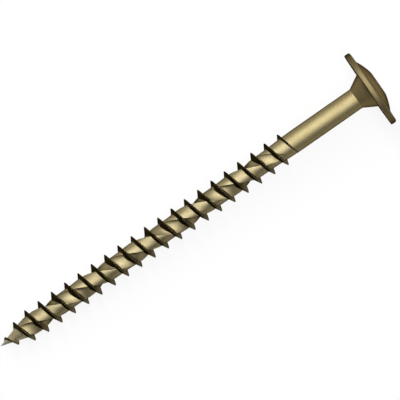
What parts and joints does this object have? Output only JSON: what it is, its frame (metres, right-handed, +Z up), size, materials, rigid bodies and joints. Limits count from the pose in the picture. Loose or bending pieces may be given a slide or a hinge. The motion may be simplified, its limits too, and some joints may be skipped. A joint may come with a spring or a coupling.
{
  "type": "wafer head screw",
  "caption": "Timber construction screw with a wide wafer head, plain shank, conical neck, twisted flat-sided core, coarse right-hand thread and a sharp point.",
  "frame": {"origin": "bottom centre of the box of the lying screw, on the floor it rests on", "axes": "+X along the screw towards its head, +Y across it, +Z up; the axis leans up towards the head by about 3.6 degrees, because the screw rests on its rim and on the thread near the point"},
  "size_m": [0.1212, 0.022, 0.022],
  "materials": {
    "bronze_coat": "hardened carbon steel with a bronze-tinted, satin waxed corrosion coating"
  },
  "bodies": {
    "root": {"screw": "bronze_coat"}
  },
  "joints": []
}
